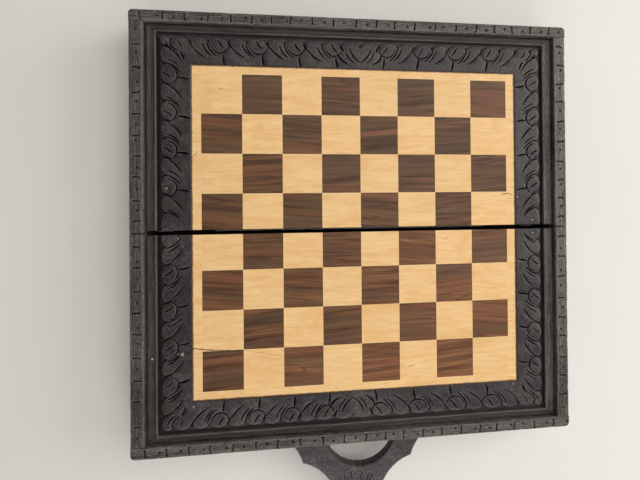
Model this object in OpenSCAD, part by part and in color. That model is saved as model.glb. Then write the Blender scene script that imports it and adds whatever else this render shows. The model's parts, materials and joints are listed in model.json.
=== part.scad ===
// Folding wooden games box, open flat with the chess board up and the hollow, backgammon side down.
// Origin: centre of the footprint on the table. +X to the right, +Y away from the handle, +Z up.
// Each half is drawn in its own frame: y = 0 is the fold plane and y grows towards its end wall.

/* [Chess board] */
// Side of a full chess square
square = 42; // [40:0.5:44]
// Depth of the row of squares that touches the fold
fold_row = 37.8; // [36:0.2:42]
// Plain maple beyond the squares, left and right
side_margin = 10; // [6:0.5:12]
// Plain maple beyond the squares, at the end
end_margin = 8.8; // [6:0.2:12]
// Width of the carved border, left and right
side_carving = 31.7; // [28:0.1:36]
// Width of the carved border at the end
end_carving = 30.6; // [28:0.1:36]

/* [Frame] */
// Height of each half above its open rim
half_h = 50; // [44:1:60]
// Thickness of the left and right walls
side_wall = 14; // [10:0.5:16]
// Thickness of the end walls
end_wall = 12; // [10:0.5:16]
// Thickness of the walls beside the fold
fold_wall = 9; // [8:0.5:12]
// Distance from the fold plane to each fold wall
fold_gap = 2.4; // [2.2:0.1:3]
// Width of the flat moulding inside the left and right walls
side_moulding = 11.3; // [8:0.1:14]
// Width of the flat moulding inside the end wall
end_moulding = 8.4; // [6:0.1:12]
// Width of the groove between moulding and carving
groove = 3; // [2:0.5:4]
// Depth of the chess board below the top of the walls
board_sink = 5; // [4:0.5:7]

/* [Handle] */
// Radius of the half-round hand hole
hand_r = 40; // [34:1:42]
// Length of the handle beyond the wall
handle_reach = 80; // [76:1:84]
// Thickness of the handle plate
handle_t = 12; // [10:0.5:16]
// Depth of the handle's face below the top of the walls
handle_sink = 24; // [20:1:26]

/* [Game pieces] */
// Radius of a checker
checker_r = 16; // [13:0.5:16.5]
// Thickness of a checker
checker_t = 9; // [7:0.5:10]
// Side of a die
die = 13; // [10:0.5:15]

/* [Hidden] */
$fn = 48;
cut = 1;
knuckle_r = 2;
axis_z = knuckle_r;
wall_z = axis_z + 0.15;
top_z = axis_z + half_h;
board_z = top_z - board_sink;
sheet_t = 3;
base_z = board_z - sheet_t;
base_t = 5;
field_t = 1.5;
ceiling_z = base_z - base_t - field_t;
moulding_t = 3.2;
fillet_w = 2.4;
fillet_t = 3.6;
carving_t = 3.5;
corner_r = 4;
end_clear = 0.2;

half_w = 4 * square + side_margin + side_carving + groove + side_moulding + side_wall;
board_x = 4 * square + side_margin;
board_y = fold_gap + fold_row + 3 * square + end_margin;
carving_x = board_x + side_carving;
carving_y = board_y + end_carving;
moulding_x = carving_x + groove;
moulding_y = carving_y + groove;
inner_x = half_w - side_wall;
inner_y = moulding_y + end_moulding;
half_d = inner_y + end_wall;
hollow_y = fold_gap + fold_wall;

latch_x = 150;
pivot_up = 12;
pin_up = 10;
latch_len = pivot_up + pin_up;
latch_t = 1.6;
latch_w = 6;
latch_off = 0.3;
pivot_r = 1.5;
pivot_fit = 0.08;
pin_r = 1.4;
notch_r = 1.8;
pin_stand = latch_off + latch_t + 0.4;
head_t = 1.3;
head_r = 3;

fold_y = (handle_reach - pin_stand - head_t) / 2;

tile_gap = 0.1;
tile_t = 2;

points = 6;
point_pitch = (inner_y - hollow_y) / points;
point_len = 165;
point_edge = 2;
point_gap = 1.5;

hinge_x = 185;
hinge_len = 44;
knuckles = 5;
knuckle_gap = 0.3;
leaf_t = 1;
leaf_h = 16;
leaf_clear = 0.4;
hinge_pin_r = 0.9;
hinge_fit = 0.05;
hinge_screw_r = 1.1;
hinge_head_r = 2;
hinge_screw_len = 6.5;

handle_shift = -3;
handle_half = 88;
handle_shoulder = 64;
scoop_1 = [113.6, 47.6];
scoop_1_r = 54.1;
scoop_2 = [75.9, 82.7];
scoop_2_r = 52.2;
tip_r = 22;
handle_z = top_z - handle_sink - handle_t;
handle_screw_x = [46, 58];
handle_screw_r = 1.6;
handle_screw_len = 28;
handle_head_r = 3.4;
handle_head_t = 2.2;
head_proud = 0.3;

nail_r = 0.9;
nail_head_r = 1.3;
nail_len = 7;
far_nail_at = [[199, 8], [-203, 46]];
near_nail_at = [[199, 7], [-192, 6], [-218, 129]];

checker_cols = 5;
checker_rows = 3;
checker_pitch = 2 * checker_r + 4;
checker_start = [-190, 58];
ring_r = 0.62 * checker_r;
ring_w = 1.6;
ring_depth = 0.7;
checker_edge = 1;
dice_at = [[-12, 172], [14, 180]];
pip_r = 1.25;

// Puts a part that is drawn in a half's own frame on the far half.
module on_far() {
    translate([0, fold_y, 0]) children();
}

// Puts a part that is drawn in a half's own frame on the near half.
module on_near() {
    translate([0, fold_y, 0]) mirror([0, 1, 0]) children();
}

// Places a left part on the left, or mirrors it to the right.
module on_side(right) {
    mirror([right ? 1 : 0, 0, 0]) children();
}

module slab(x0, x1, y0, y1, z0, z1) {
    translate([x0, y0, z0]) cube([x1 - x0, y1 - y0, z1 - z0]);
}

// Takes the square corner off a vertical edge at x = half_w, y = half_d.
module corner_cut() {
    translate([half_w - corner_r, half_d - corner_r, wall_z - cut])
        difference() {
            cube([corner_r + cut, corner_r + cut, half_h + 2 * cut]);
            translate([0, 0, -cut]) cylinder(r = corner_r, h = half_h + 4 * cut);
        }
}

module end_wall_board() {
    color("dimgray")
        difference() {
            slab(-half_w, half_w, inner_y, half_d, wall_z, top_z);
            corner_cut();
            mirror([1, 0, 0]) corner_cut();
        }
}

module side_wall_board(right) {
    color("dimgray") on_side(right) slab(-half_w, -inner_x, end_clear, inner_y, wall_z, top_z);
}

module fold_wall_board() {
    color("dimgray") slab(-inner_x, inner_x, fold_gap, hollow_y, wall_z, base_z - base_t);
}

module base_board() {
    color("burlywood") slab(-inner_x, inner_x, fold_gap, inner_y, base_z - base_t, base_z);
}

// A strip across the end with mitred corners, from the outer to the inner corner.
module end_strip(outer, inner, t) {
    translate([0, 0, base_z])
        linear_extrude(t)
            polygon([[-outer.x, outer.y], [-inner.x, inner.y], [inner.x, inner.y], [outer.x, outer.y]]);
}

// The matching strip along the left side, from the fold to the mitre.
module side_strip(outer, inner, t) {
    translate([0, 0, base_z])
        linear_extrude(t)
            polygon([[-outer.x, fold_gap], [-inner.x, fold_gap], [-inner.x, inner.y], [-outer.x, outer.y]]);
}

moulding_outer = [inner_x, inner_y];
moulding_inner = [moulding_x, moulding_y];
fillet_outer = [moulding_x + fillet_w, moulding_y + fillet_w];
carving_outer = [carving_x, carving_y];
carving_inner = [board_x, board_y];

module end_moulding_strip() {
    color("dimgray") {
        end_strip(moulding_outer, moulding_inner, moulding_t);
        end_strip(fillet_outer, moulding_inner, fillet_t);
    }
}

module side_moulding_strip(right) {
    color("dimgray")
        on_side(right) {
            side_strip(moulding_outer, moulding_inner, moulding_t);
            side_strip(fillet_outer, moulding_inner, fillet_t);
        }
}

module end_carving_strip() {
    color("darkslategray") end_strip(carving_outer, carving_inner, carving_t);
}

module side_carving_strip(right) {
    color("darkslategray") on_side(right) side_strip(carving_outer, carving_inner, carving_t);
}

// Row 0 touches the fold and is shallower than the rest.
function row_start(row) = fold_gap + (row == 0 ? 0 : fold_row + (row - 1) * square);
function is_dark(col, row, first) = (col + row) % 2 == first;

// The dark squares of one half, each shrunk by a small gap all round and grown by extra.
module dark_squares(first, z0, z1, extra) {
    inset = tile_gap - extra;
    for (row = [0:3], col = [0:7])
        if (is_dark(col, row, first))
            slab(
                (col - 4) * square + inset, (col - 3) * square - inset,
                row_start(row) + inset, row_start(row + 1) - inset, z0, z1
            );
}

module maple_board(first) {
    color("tan")
        difference() {
            slab(-board_x, board_x, fold_gap, board_y, base_z, board_z);
            dark_squares(first, board_z - tile_t, board_z + cut, 0);
        }
}

module walnut_squares(first) {
    color("saddlebrown") dark_squares(first, board_z - tile_t, board_z, 0);
}

// One long triangle with its foot beside the left wall, at place i from the fold.
module point_shape(i) {
    y0 = hollow_y + i * point_pitch;
    polygon([
        [-inner_x + point_edge, y0 + point_gap],
        [-inner_x + point_edge + point_len, y0 + point_pitch / 2],
        [-inner_x + point_edge, y0 + point_pitch - point_gap]
    ]);
}

// Every second point, on both sides. Opposite points have opposite colours.
module points_of(first) {
    translate([0, 0, ceiling_z])
        linear_extrude(field_t)
            for (i = [0:points - 1]) {
                if (i % 2 == first) point_shape(i);
                if (i % 2 != first) mirror([1, 0, 0]) point_shape(i);
            }
}

module play_field() {
    color("sienna")
        difference() {
            slab(-inner_x, inner_x, hollow_y, inner_y, ceiling_z, ceiling_z + field_t);
            translate([0, 0, ceiling_z - cut])
                linear_extrude(field_t + 2 * cut)
                    for (i = [0:points - 1], side = [0, 1])
                        mirror([side, 0, 0]) point_shape(i);
        }
}

module dark_points() {
    color("maroon") points_of(0);
}

module light_points() {
    color("wheat") points_of(1);
}

module nails(places, z) {
    color("gray")
        for (p = places)
            translate([p.x, p.y, z]) {
                translate([0, 0, -nail_len]) cylinder(r = nail_r, h = nail_len);
                cylinder(r = nail_head_r, h = head_proud);
            }
}

// The hinge barrel as five knuckles; which = 0 gives three of them, which = 1 the two between.
module knuckle_row(which) {
    step = hinge_len / knuckles;
    for (k = [0:knuckles - 1])
        if (k % 2 == which)
            translate([k * step + knuckle_gap / 2, 0, 0]) {
                rotate([0, 90, 0]) cylinder(r = knuckle_r, h = step - knuckle_gap);
                translate([0, fold_gap - leaf_t, 0]) cube([step - knuckle_gap, leaf_t, knuckle_r + leaf_clear]);
            }
}

// One leaf in the hinge's own frame: x from 0 to hinge_len, and the pin on the x axis.
module hinge_leaf(which, bore_r) {
    difference() {
        union() {
            knuckle_row(which);
            translate([0, fold_gap - leaf_t, knuckle_r + leaf_clear])
                cube([hinge_len, leaf_t, leaf_h - knuckle_r - leaf_clear]);
        }
        translate([-cut, 0, 0]) rotate([0, 90, 0]) cylinder(r = bore_r, h = hinge_len + 2 * cut);
    }
}

module at_hinges() {
    for (side = [-1, 1])
        translate([side * hinge_x - hinge_len / 2, 0, axis_z]) children();
}

module hinge_leaves(which, bore_r) {
    color("goldenrod") at_hinges() hinge_leaf(which, bore_r);
}

module hinge_pins() {
    color("goldenrod") at_hinges() rotate([0, 90, 0]) cylinder(r = hinge_pin_r, h = hinge_len);
}

// Three countersunk screws through each leaf into the fold wall.
module hinge_screws() {
    color("goldenrod")
        at_hinges()
            for (i = [0:2])
                translate([hinge_len * (i + 0.5) / 3, fold_gap - leaf_t - 0.2, (leaf_h + knuckle_r) / 2 + 0.6])
                    rotate([-90, 0, 0]) {
                        cylinder(r1 = hinge_head_r, r2 = hinge_screw_r, h = leaf_t);
                        cylinder(r = hinge_screw_r, h = hinge_screw_len);
                    }
}

// Handle outline: a plate scooped twice on each side, with a round tip.
module handle_outline() {
    difference() {
        union() {
            translate([-handle_half, 0]) square([2 * handle_half, handle_shoulder]);
            translate([0, handle_reach - tip_r]) circle(r = tip_r, $fn = 96);
        }
        for (side = [0, 1])
            mirror([side, 0]) {
                translate(scoop_1) circle(r = scoop_1_r, $fn = 96);
                translate(scoop_2) circle(r = scoop_2_r, $fn = 96);
            }
    }
}

module handle() {
    color("darkslategray")
        translate([0, half_d, handle_z])
            difference() {
                translate([handle_shift, 0, 0]) linear_extrude(handle_t) handle_outline();
                translate([0, 0, -cut]) cylinder(r = hand_r, h = handle_t + 2 * cut, $fn = 96);
            }
}

// Screws from inside the near half, through the end wall and into the feet of the handle.
module handle_screws() {
    color("goldenrod")
        for (side = [-1, 1], x = handle_screw_x)
            translate([side * x, inner_y - head_proud, handle_z + handle_t / 2])
                rotate([-90, 0, 0]) {
                    cylinder(r1 = handle_head_r, r2 = handle_screw_r, h = handle_head_t);
                    cylinder(r = handle_screw_r, h = handle_screw_len);
                }
}

// A flat hook that lies level, with its pivot at the left and a notch in its lower edge.
module latch_hook(right) {
    color("goldenrod")
        translate([0, half_d + latch_off, axis_z + pivot_up])
            on_side(right)
                translate([-latch_x, 0, 0])
                    difference() {
                        union() {
                            rotate([-90, 0, 0]) cylinder(r = latch_w / 2, h = latch_t);
                            translate([0, 0, -latch_w / 2]) cube([latch_len, latch_t, latch_w]);
                            translate([latch_len, 0, 0]) rotate([-90, 0, 0]) cylinder(r = latch_w / 2 + 1, h = latch_t);
                        }
                        translate([0, -cut, 0]) rotate([-90, 0, 0]) cylinder(r = pivot_r + pivot_fit, h = latch_t + 2 * cut);
                        translate([latch_len, -cut, 0]) rotate([-90, 0, 0]) cylinder(r = notch_r, h = latch_t + 2 * cut);
                        translate([latch_len - notch_r, -cut, -latch_w]) cube([2 * notch_r, latch_t + 2 * cut, latch_w]);
                    }
}

module at_latches(up) {
    for (side = [-1, 1])
        translate([side * latch_x, half_d, axis_z + up]) rotate([-90, 0, 0]) children();
}

// Round-headed brass screws that stand out of a wall by the hook's thickness and some play.
module latch_screw(r) {
    translate([0, 0, -nail_len]) cylinder(r = r, h = nail_len + pin_stand);
    translate([0, 0, pin_stand]) cylinder(r = head_r, h = head_t);
}

module latch_pivot_screws() {
    color("goldenrod") at_latches(pivot_up) latch_screw(pivot_r);
}

module latch_pins() {
    color("goldenrod") at_latches(pin_up) latch_screw(pin_r);
}

// A turned checker with a ring groove in each face.
module checker() {
    difference() {
        rotate_extrude($fn = 64)
            polygon([
                [0, 0], [checker_r - checker_edge, 0], [checker_r, checker_edge],
                [checker_r, checker_t - checker_edge], [checker_r - checker_edge, checker_t], [0, checker_t]
            ]);
        for (z = [-cut, checker_t - ring_depth])
            translate([0, 0, z])
                difference() {
                    cylinder(r = ring_r + ring_w / 2, h = ring_depth + cut);
                    translate([0, 0, -cut]) cylinder(r = ring_r - ring_w / 2, h = ring_depth + 3 * cut);
                }
    }
}

module checkers(right) {
    mirror([right ? 1 : 0, 0, 0])
        for (i = [0:checker_cols - 1], j = [0:checker_rows - 1])
            translate([checker_start.x + i * checker_pitch, checker_start.y + j * checker_pitch, 0]) checker();
}

module light_checkers() {
    color("navajowhite") checkers(false);
}

module dark_checkers() {
    color("saddlebrown") checkers(true);
}

// Places of the pips on a face, by number.
function pips(n) = concat(
    n % 2 == 1 ? [[0, 0]] : [],
    n > 1 ? [[-1, -1], [1, 1]] : [],
    n > 3 ? [[-1, 1], [1, -1]] : [],
    n == 6 ? [[-1, 0], [1, 0]] : []
);
face_turns = [[0, 0, 0], [90, 0, 0], [0, 90, 0], [0, -90, 0], [-90, 0, 0], [180, 0, 0]];

module die_shape() {
    difference() {
        intersection() {
            cube(die, center = true);
            sphere(r = die * 0.75, $fn = 64);
        }
        for (n = [1:6])
            rotate(face_turns[n - 1])
                for (p = pips(n))
                    translate([p.x * die / 4, p.y * die / 4, die / 2 + 0.35]) sphere(r = pip_r, $fn = 24);
    }
}

module dice() {
    color("ivory")
        for (k = [0, 1])
            translate([dice_at[k].x, dice_at[k].y, die / 2]) rotate([k * 90, 0, 25 + 40 * k]) die_shape();
}

on_far() end_wall_board();  // far_end_wall
on_far() side_wall_board(false);  // far_left_wall
on_far() side_wall_board(true);  // far_right_wall
on_far() fold_wall_board();  // far_fold_wall
on_far() base_board();  // far_base_board
on_far() end_moulding_strip();  // far_end_moulding
on_far() side_moulding_strip(false);  // far_left_moulding
on_far() side_moulding_strip(true);  // far_right_moulding
on_far() end_carving_strip();  // far_end_carving
on_far() side_carving_strip(false);  // far_left_carving
on_far() side_carving_strip(true);  // far_right_carving
on_far() maple_board(0);  // far_maple_board
on_far() walnut_squares(0);  // far_walnut_squares
on_far() play_field();  // far_play_field
on_far() dark_points();  // far_dark_points
on_far() light_points();  // far_light_points
on_far() nails(far_nail_at, base_z + carving_t);  // far_nails
on_near() end_wall_board();  // near_end_wall
on_near() side_wall_board(false);  // near_left_wall
on_near() side_wall_board(true);  // near_right_wall
on_near() fold_wall_board();  // near_fold_wall
on_near() base_board();  // near_base_board
on_near() end_moulding_strip();  // near_end_moulding
on_near() side_moulding_strip(false);  // near_left_moulding
on_near() side_moulding_strip(true);  // near_right_moulding
on_near() end_carving_strip();  // near_end_carving
on_near() side_carving_strip(false);  // near_left_carving
on_near() side_carving_strip(true);  // near_right_carving
on_near() maple_board(1);  // near_maple_board
on_near() walnut_squares(1);  // near_walnut_squares
on_near() play_field();  // near_play_field
on_near() dark_points();  // near_dark_points
on_near() light_points();  // near_light_points
on_near() nails(near_nail_at, base_z + carving_t);  // near_nails
on_near() handle();
on_near() handle_screws();
on_far() hinge_leaves(0, hinge_pin_r);  // far_hinge_leaves
on_near() hinge_leaves(1, hinge_pin_r + hinge_fit);  // near_hinge_leaves
on_far() hinge_pins();
on_far() hinge_screws();  // far_hinge_screws
on_near() hinge_screws();  // near_hinge_screws
on_near() latch_hook(false);  // left_latch_hook
on_near() latch_hook(true);  // right_latch_hook
on_near() latch_pivot_screws();
on_far() latch_pins();
on_far() light_checkers();
on_far() dark_checkers();
on_far() dice();
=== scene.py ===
"""Looks of a folding wooden games box, open flat with the chess board up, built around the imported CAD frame.

Lengths in the shape code are millimetres in the row frame, and MM turns them into metres at the mesh.
A half's own frame has y = 0 at the fold and y growing towards its end wall.
"""
import json
import math

import bmesh
import bpy
import numpy as np
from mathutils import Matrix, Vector
from mathutils.geometry import delaunay_2d_cdt


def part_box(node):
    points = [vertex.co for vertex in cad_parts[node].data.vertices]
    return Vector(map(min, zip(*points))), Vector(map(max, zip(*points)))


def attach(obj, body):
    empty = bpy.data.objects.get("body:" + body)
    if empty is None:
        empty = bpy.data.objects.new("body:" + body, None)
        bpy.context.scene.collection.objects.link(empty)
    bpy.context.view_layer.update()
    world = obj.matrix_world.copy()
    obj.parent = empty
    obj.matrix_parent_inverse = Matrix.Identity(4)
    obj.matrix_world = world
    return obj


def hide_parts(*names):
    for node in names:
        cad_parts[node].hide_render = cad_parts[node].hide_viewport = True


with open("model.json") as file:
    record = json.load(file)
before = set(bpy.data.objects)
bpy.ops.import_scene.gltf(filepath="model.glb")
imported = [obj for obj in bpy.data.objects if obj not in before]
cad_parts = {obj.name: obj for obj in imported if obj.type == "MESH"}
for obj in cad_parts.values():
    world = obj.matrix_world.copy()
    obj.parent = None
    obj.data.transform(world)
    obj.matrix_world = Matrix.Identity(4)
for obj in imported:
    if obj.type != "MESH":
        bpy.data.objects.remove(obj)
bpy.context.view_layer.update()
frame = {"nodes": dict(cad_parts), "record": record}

MM = 0.001
HALVES = {"far": 1, "near": -1}
SIDES = {"left": -1, "right": 1}


# ---- sizes, all worked out from the frame

def span(node):
    """Lowest and highest corner of a CAD node in millimetres."""
    lo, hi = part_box(node)
    return np.array(lo) / MM, np.array(hi) / MM


def half_y(node_y):
    """A row-frame y of the far half in the half's own frame."""
    return node_y - FOLD_Y


FOLD_Y = (span("far_left_wall")[0][1] + span("near_left_wall")[1][1]) / 2
WALL_LO, WALL_HI = span("far_end_wall")
HALF_W = WALL_HI[0]
HALF_D = half_y(WALL_HI[1])
INNER_Y = half_y(WALL_LO[1])
INNER_X = -span("far_left_wall")[1][0]
WALL_FOLD_Y = half_y(span("far_left_wall")[0][1])
WALL_Z = WALL_LO[2]
TOP_Z = WALL_HI[2]
BASE_Z = span("far_base_board")[1][2]
BOARD_X = span("far_maple_board")[1][0]
BOARD_Y = half_y(span("far_maple_board")[1][1])
FOLD_GAP = half_y(span("far_maple_board")[0][1])
CARVING_X = -span("far_left_carving")[0][0]
CARVING_Y = half_y(span("far_end_carving")[1][1])
CARVING_Z = span("far_end_carving")[1][2]
MOULDING_X = -span("far_left_moulding")[1][0]
MOULDING_Y = half_y(span("far_end_moulding")[0][1])
MOULDING_Z = span("far_end_moulding")[1][2]
SQUARE = 42.0
FOLD_ROW_SHORT = 1.8
CORNER_R = 4.0
NODE_BODY = {node: body for body, nodes in frame["record"]["behaviour"]["bodies"].items() for node in nodes}

GRID = 0.38
SHARP = 40
HARD_EDGE = math.radians(38)

# ---- numbers in space

def rough(x, y, size, seed):
    """Smooth random values from -1 to 1 that change over about size millimetres."""
    table = np.random.default_rng(seed).uniform(-1, 1, (64, 64))
    u, v = x / size, y / size
    i, j = np.floor(u).astype(int), np.floor(v).astype(int)
    a, b = u - i, v - j
    a, b = a * a * (3 - 2 * a), b * b * (3 - 2 * b)

    def pick(di, dj):
        return table[(i + di) % 64, (j + dj) % 64]

    low = pick(0, 0) * (1 - a) + pick(1, 0) * a
    high = pick(0, 1) * (1 - a) + pick(1, 1) * a
    return low * (1 - b) + high * b


def smooth_step(x):
    """Eases from 0 to 1."""
    x = np.clip(x, 0, 1)
    return x * x * (3 - 2 * x)


def bell(away, width):
    """1 at no distance, then rounding off to nothing."""
    return np.exp(-(away / width) ** 2)


def fade(away, width):
    """1 at no distance, then falling steeply to nothing."""
    return np.exp(-away / width)


def spaced(lo, hi, step, edge=0.0):
    """Numbers from lo to hi about a step apart, closer at both ends where an edge is rounded."""
    inner = np.linspace(lo + edge, hi - edge, max(2, int(round((hi - lo - 2 * edge) / step)) + 1))
    if not edge:
        return inner
    turn = edge * (1 - np.cos(np.linspace(0, math.pi / 2, 6)))[:-1]
    return np.concatenate([lo + turn, inner, (hi - turn)[::-1]])


def edge_fall(away, radius):
    """How far a rounded edge has fallen at a distance in from the edge."""
    inside = np.clip(radius - away, 0, radius)
    return radius - np.sqrt(radius * radius - inside * inside)


def smooth_path(points, count=14):
    """A smooth curve through two to five points."""
    points = np.array(points, float)
    steps = np.hypot(*np.diff(points, axis=0).T)
    at = np.concatenate([[0], np.cumsum(steps)]) / steps.sum()
    t = np.linspace(0, 1, count)
    return np.stack([np.polyval(np.polyfit(at, points[:, k], len(points) - 1), t) for k in (0, 1)], 1)


def path_distance(x, y, path):
    """Distance of each point to a path, the side it lies on, and its share of the way along."""
    best = np.full(x.shape, np.inf)
    side = np.zeros(x.shape)
    share = np.zeros(x.shape)
    pieces = len(path) - 1
    for k in range(pieces):
        ax, ay = path[k]
        dx, dy = path[k + 1] - path[k]
        t = np.clip(((x - ax) * dx + (y - ay) * dy) / (dx * dx + dy * dy), 0, 1)
        ex, ey = x - ax - t * dx, y - ay - t * dy
        away = np.hypot(ex, ey)
        closer = away < best
        best = np.where(closer, away, best)
        side = np.where(closer, np.sign(dx * ey - dy * ex), side)
        share = np.where(closer, (k + t) / pieces, share)
    return best, side, share


class Relief:
    """What a chisel takes off a top face, gathered at a set of points."""

    def __init__(self, x, y):
        self.x, self.y = x, y
        self.slit = np.zeros(x.shape)
        self.fall = np.zeros(x.shape)
        # Darkness to paint where the chisel went in: stain pooled in the cuts, and painted shade in them as
        # well.
        self.stain_and_shade = np.zeros(x.shape)
        # Lightness to paint on crests: stain rubbed thin there, and a painted highlight as well.
        self.wear_and_highlight = np.zeros(x.shape)

    def cut(self, points, width, depth, under=0, fall=0.8, reach=3.2, taper=0.55):
        """One slit. The wood on the side under (+1 or -1) lies lower, as if it ran beneath."""
        path = smooth_path(points) if len(points) > 2 else np.array(points, float)
        margin = 3 * reach
        lo, hi = path.min(0) - margin, path.max(0) + margin
        near = (self.x > lo[0]) & (self.x < hi[0]) & (self.y > lo[1]) & (self.y < hi[1])
        if not near.any():
            return
        away, side, share = path_distance(self.x[near], self.y[near], path)
        half = width * (taper + (1 - taper) * np.sin(np.pi * np.clip(share, 0.02, 0.98)))
        groove = np.clip(1 - away / half, 0, 1)
        self.slit[near] = np.maximum(self.slit[near], depth * groove ** 0.6)
        # Painted shade and pooled stain in the slit itself.
        self.stain_and_shade[near] = np.maximum(self.stain_and_shade[near], smooth_step(1.9 * groove))
        # The crest beside the slit is painted lighter: worn stain and a painted highlight.
        crest = bell(away - half - 0.45, 0.45)
        self.fall[near] += 0.16 * depth * fade(away, 1.3) * np.sin(np.pi * np.clip(share, 0.05, 0.95))
        if under:
            ends = np.sin(np.pi * np.clip(share, 0.08, 0.92))
            lower = fall * np.exp(-(away / reach) ** 1.3) * ends
            self.fall[near] += np.where(side == under, lower, 0)
            # Painted shade on the lower side, under the wood that runs over it.
            self.stain_and_shade[near] = np.maximum(
                self.stain_and_shade[near], np.where(side == under, 0.5 * bell(away, 1.1) * ends, 0))
            # Less painted highlight on the lower side of the cut, more on the upper side.
            crest = np.where(side == under, 0.2 * crest, 1.3 * crest)
        self.wear_and_highlight[near] = np.maximum(self.wear_and_highlight[near], crest)

    def dot(self, x, y, radius, depth):
        """A small round hole, as a punch leaves."""
        away = np.hypot(self.x - x, self.y - y)
        hole = np.clip(1 - away / radius, 0, 1)
        self.slit = np.maximum(self.slit, depth * hole ** 0.5)
        # Painted shade and pooled stain in the punched hole.
        self.stain_and_shade = np.maximum(self.stain_and_shade, smooth_step(1.8 * hole))


# ---- meshes

def new_piece(name, points, faces, material, node):
    """A mesh object from points in millimetres, standing for a CAD node and riding on its body."""
    mesh = bpy.data.meshes.new(name)
    mesh.from_pydata((np.asarray(points, float) * MM).tolist(), [], faces)
    mesh.validate()
    mesh.shade_smooth()
    mesh.set_sharp_from_angle(angle=math.radians(SHARP))
    mesh.materials.append(material)
    piece = bpy.data.objects.new(name, mesh)
    bpy.context.scene.collection.objects.link(piece)
    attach(piece, NODE_BODY[node])
    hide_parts(node)
    return piece


def set_point_values(piece, name, values):
    """Stores one number for each point of a piece, for its material to read."""
    layer = piece.data.attributes.new(name, "FLOAT", "POINT")
    full = np.zeros(len(piece.data.vertices), np.float32)
    full[:len(values)] = values
    layer.data.foreach_set("value", full)


def block(half, part, ending, x, y, z, rings, material, values):
    """A closed solid for a part of one half: a grid of heights on top, sides that follow rings of
    (height, inset), a flat bottom, and values for its material at the points of the top."""
    y = FOLD_Y + HALVES[half] * y
    rows, columns = z.shape
    points = [np.stack([x, y, z], -1).reshape(-1, 3)]
    index = np.arange(rows * columns).reshape(rows, columns)
    turn = (x[0, 1] - x[0, 0]) * (y[1, 0] - y[0, 0]) - (y[0, 1] - y[0, 0]) * (x[1, 0] - x[0, 0])
    if turn < 0:
        index = index[::-1]
    corners = (index[:-1, :-1], index[:-1, 1:], index[1:, 1:], index[1:, :-1])
    faces = np.stack(corners, -1).reshape(-1, 4).tolist()
    loop = np.concatenate([index[0, :-1], index[:-1, -1], index[-1, :0:-1], index[:0:-1, 0]])
    rim = points[0][loop]
    ahead = np.roll(rim[:, :2], -3, 0) - np.roll(rim[:, :2], 3, 0)
    inward = np.stack([-ahead[:, 1], ahead[:, 0]], 1)
    inward /= np.maximum(np.linalg.norm(inward, axis=1, keepdims=True), 1e-9)
    above = loop
    count = rows * columns
    for ring_z, inset in rings:
        ring = np.column_stack([rim[:, :2] + inward * inset, np.full(len(loop), ring_z)])
        points.append(ring)
        below = count + np.arange(len(loop))
        count += len(loop)
        sides = (above, below, np.roll(below, -1), np.roll(above, -1))
        faces += np.stack(sides, -1).tolist()
        above = below
    faces.append(above[::-1].tolist())
    node = f"{half}_{part}"
    piece = new_piece(f"{node}_{ending}", np.concatenate(points), faces, material, node)
    for key, value in values.items():
        set_point_values(piece, key, value.reshape(-1))
    return piece


def merged_form(node):
    """The mesh of a CAD node with its split corners joined and its flat faces made whole."""
    form = bmesh.new()
    form.from_mesh(frame["nodes"][node].data)
    bmesh.ops.remove_doubles(form, verts=form.verts, dist=0.005 * MM)
    bmesh.ops.dissolve_limit(form, angle_limit=math.radians(1.5), verts=form.verts, edges=form.edges)
    return form


def eased(node, width, material, segments=2):
    """A copy of a CAD node with its hard edges rounded over, standing for that node."""
    form = merged_form(node)
    hard = [edge for edge in form.edges if len(edge.link_faces) == 2 and edge.calc_face_angle() > HARD_EDGE]
    bmesh.ops.bevel(form, geom=hard, offset=width * MM, segments=segments, profile=0.5, affect="EDGES",
                    clamp_overlap=False)
    points = np.array([corner.co for corner in form.verts]) / MM
    lo, hi = span(node)
    faces = [[corner.index for corner in face.verts] for face in form.faces]
    form.free()
    return new_piece(f"{node}_eased", np.clip(points, lo, hi), faces, material, node)


def loose_parts(node):
    """The points of each separate solid in a CAD node, in millimetres."""
    form = merged_form(node)
    unseen = set(form.verts)
    parts = []
    while unseen:
        found = [unseen.pop()]
        for corner in found:
            beside = {edge.other_vert(corner) for edge in corner.link_edges} & unseen
            unseen -= beside
            found += beside
        parts.append(np.array([corner.co for corner in found]) / MM)
    form.free()
    return sorted(parts, key=lambda part: tuple(part.min(0).round(3)))


def middle_of(part):
    return (part.min(0) + part.max(0)) / 2


def turned(node, ending, profile, sides, material):
    """A turned solid for each solid of a node, with (radius, height) from the top of the axis down."""
    angles = np.linspace(0, 2 * math.pi, sides, endpoint=False)
    points, faces = [], []
    for x, y, _ in map(middle_of, loose_parts(node)):
        start = len(points)
        points.append((x, y, profile[0][1]))
        for radius, z in profile[1:-1]:
            points += [(x + radius * math.cos(a), y + radius * math.sin(a), z) for a in angles]
        points.append((x, y, profile[-1][1]))
        last, rings = len(points) - 1, len(profile) - 2
        for k in range(sides):
            after = (k + 1) % sides
            faces.append((start, start + 1 + k, start + 1 + after))
            for ring in range(rings - 1):
                here = start + 1 + ring * sides
                faces.append((here + k, here + sides + k, here + sides + after, here + after))
            faces.append((last, last - sides + after, last - sides + k))
    new_piece(f"{node}_{ending}", points, faces, material, node)


# ---- materials

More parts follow.
